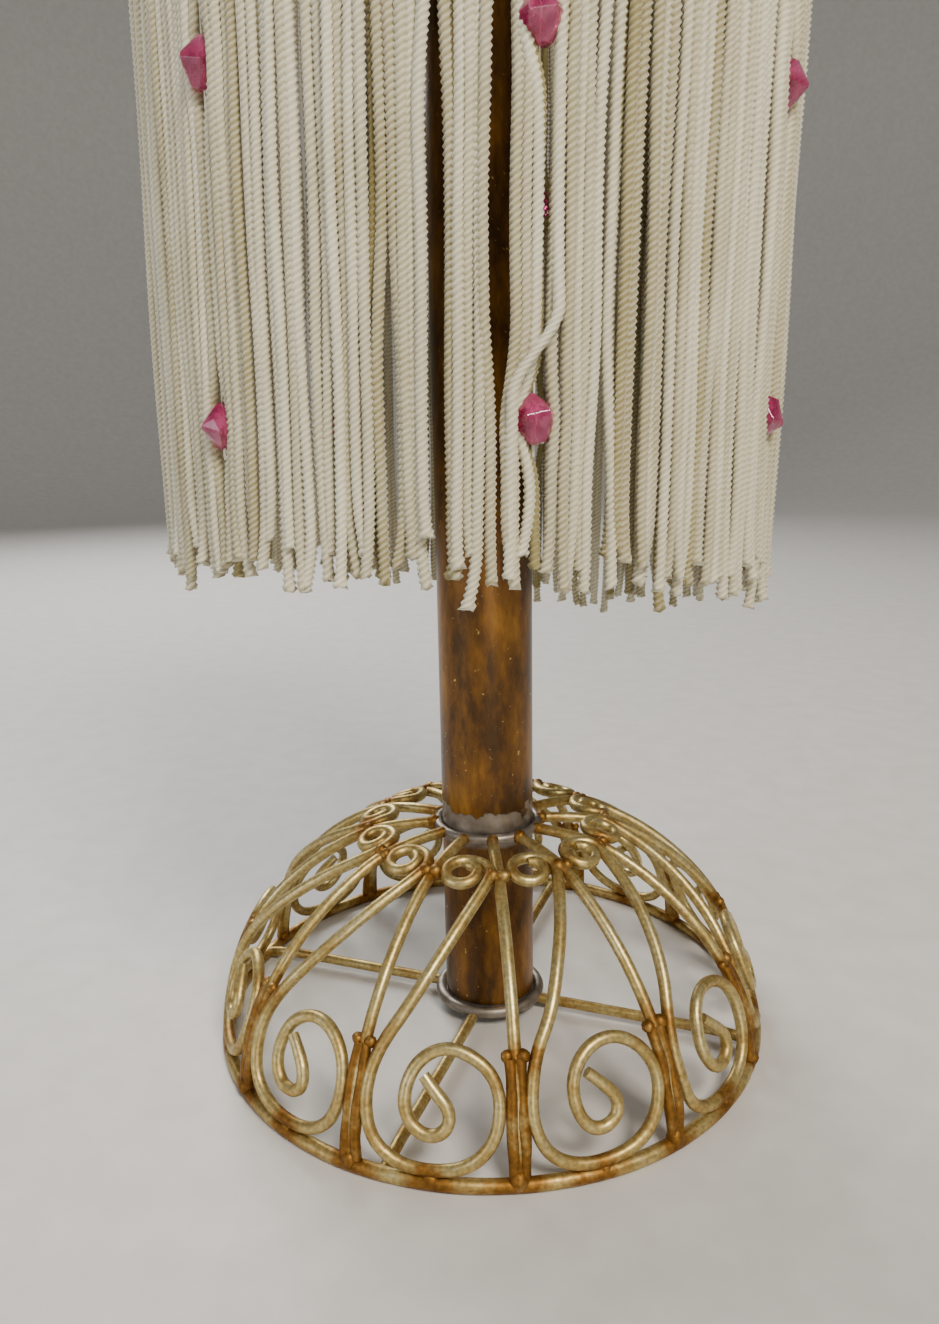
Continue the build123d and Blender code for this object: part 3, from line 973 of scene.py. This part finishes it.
def makeHeading(use):
    low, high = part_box("header_braid")
    outer = high.x - use["ground"] * mm
    inner = outer - use["thick"] * mm
    bottom, top = low.z + use["margin"] * mm, high.z - use["margin"] * mm
    strands = int(round(2 * pi * outer / (use["plait"] * mm)))
    rowCount = use["rows"] * use["stepsPerRow"]
    bm = bmesh.new()
    profile = [bm.verts.new((outer, 0, bottom + (top - bottom) * k / rowCount)) for k in range(rowCount + 1)]
    profile.append(bm.verts.new((inner, 0, top)))
    profile.append(bm.verts.new((inner, 0, bottom)))
    edges = [bm.edges.new(pair) for pair in zip(profile, profile[1:] + profile[:1])]
    bmesh.ops.spin(bm, geom=edges, angle=2 * pi, steps=strands * 6, use_merge=True, axis=(0, 0, 1),
                   cent=(0, 0, 0))
    bmesh.ops.remove_doubles(bm, verts=bm.verts[:], dist=0.00001)
    mesh = meshFromBmesh("heading", bm)

    # strands slant one way in one row and the other way in the next
    points = readPoints(mesh)
    radius = np.hypot(points[:, 0], points[:, 1])
    turn = np.arctan2(points[:, 1], points[:, 0]) * strands / 2
    row = (points[:, 2] - bottom) / (top - bottom) * use["rows"]
    slant = np.where(np.floor(row + 1e-6) % 2, 1, -1)
    strand = np.abs(np.sin(turn + slant * (row % 1) * pi * 0.8)) ** 0.7 * np.abs(np.sin(pi * row)) ** 0.5
    strand = np.where(radius > outer - 0.2 * mm, strand, 0)
    points[:, :2] *= (1 + use["raise"] * mm * strand / radius)[:, None]
    writePoints(mesh, points)
    # painted shade: the band is darker between its raised strands and on its inside
    setAttribute(mesh, "toneAndShade", 0.06 + 0.5 * (1 - strand))
    band = newPiece("heading_band", mesh, rayon, "shade")
    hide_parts("header_braid")

    bm = bmesh.new()
    core = outer - use["pipingSunk"] * mm
    turns = int(round(2 * pi * outer / (use["pipingTwist"] * mm)))
    for z in (bottom, top):
        made = bmesh.ops.create_circle(bm, segments=10, radius=use["piping"] / 2 * mm)
        standing = Matrix.Translation((core, 0, z)) @ Matrix.Rotation(pi / 2, 4, "X")
        bmesh.ops.transform(bm, matrix=standing, verts=made["verts"])
        ringEdges = list(dict.fromkeys(edge for vert in made["verts"] for edge in vert.link_edges))
        bmesh.ops.spin(bm, geom=ringEdges, angle=2 * pi, steps=turns * 5, use_merge=True, axis=(0, 0, 1),
                       cent=(0, 0, 0))
    bmesh.ops.remove_doubles(bm, verts=bm.verts[:], dist=0.00001)
    mesh = meshFromBmesh("piping", bm)
    points = readPoints(mesh)
    around = np.arctan2(points[:, 1], points[:, 0])
    level = np.where(points[:, 2] > (bottom + top) / 2, top, bottom)
    out, rise = np.hypot(points[:, 0], points[:, 1]) - core, points[:, 2] - level
    twist = around * turns / 2
    groove = use["pipingGroove"]
    narrow = 1 - groove + groove * np.abs(np.cos(np.arctan2(rise, out) - twist))
    radius = core + out * narrow
    writePoints(mesh, np.column_stack([
        radius * np.cos(around), radius * np.sin(around), level + rise * narrow]))
    # painted shade: the piping is darker where the grooves between its strands face out
    setAttribute(mesh, "toneAndShade", 0.05 + 0.35 * np.abs(np.sin(twist)) ** 3)
    piping = newPiece("heading_piping", mesh, rayon, "shade")


makeHeading(heading)
print("heading made")

finishes = {
    "foot_top_collar": bareSteel,
    "foot_bottom_collar": bareSteel,
    "shade_top_collar": gilt,
    "column_tube": lacquer,
    "threaded_rod": zincPlate,
    "bottom_washer": zincPlate,
    "bottom_nut": zincPlate,
    "lampholder_contact": turnedBrass,
    "lampholder_screw_shell": zincPlate,
    "bulb_cap": zincPlate,
    "bulb_filament": zincPlate,
    "tube_cap": turnedBrass,
    "shade_fitter_ring": turnedBrass,
    "lampholder_cap": ivory,
    "lampholder_shell": ivory,
    "lampholder_insert": ivory,
    "cord_bushing": ivory,
    "shade_ring_nut": ivory,
    "bulb_glass": glass,
    "bulb_stem": glass,
}
for name, material in finishes.items():
    mesh = frame["nodes"][name].data
    mesh.materials.clear()
    mesh.materials.append(material)
print("metal, plastic and glass finished")
